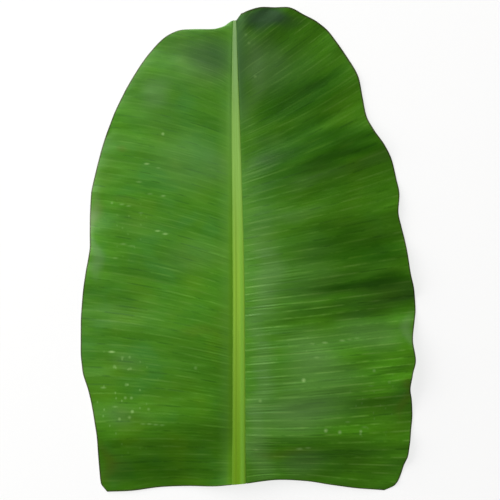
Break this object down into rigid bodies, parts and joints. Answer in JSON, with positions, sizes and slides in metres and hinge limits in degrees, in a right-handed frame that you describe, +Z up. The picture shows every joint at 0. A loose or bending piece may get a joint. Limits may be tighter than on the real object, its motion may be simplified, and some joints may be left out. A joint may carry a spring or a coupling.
{
  "type": "banana leaf",
  "caption": "Tip section of a banana leaf, cut straight across, with a pale midrib, ribbed waved blade halves and a notched tip.",
  "frame": {"origin": "on the surface the leaf lies on, under the middle of its outline", "axes": "+Y along the midrib from the cut towards the tip, +X towards the wider half, +Z up out of the glossy side"},
  "size_m": [0.3685, 0.5324, 0.023],
  "materials": {
    "leaf": "waxy green leaf, satin above with pale side veins, paler and duller below, yellow-green midrib"
  },
  "bodies": {
    "root": {"banana_leaf": "leaf"}
  },
  "joints": []
}
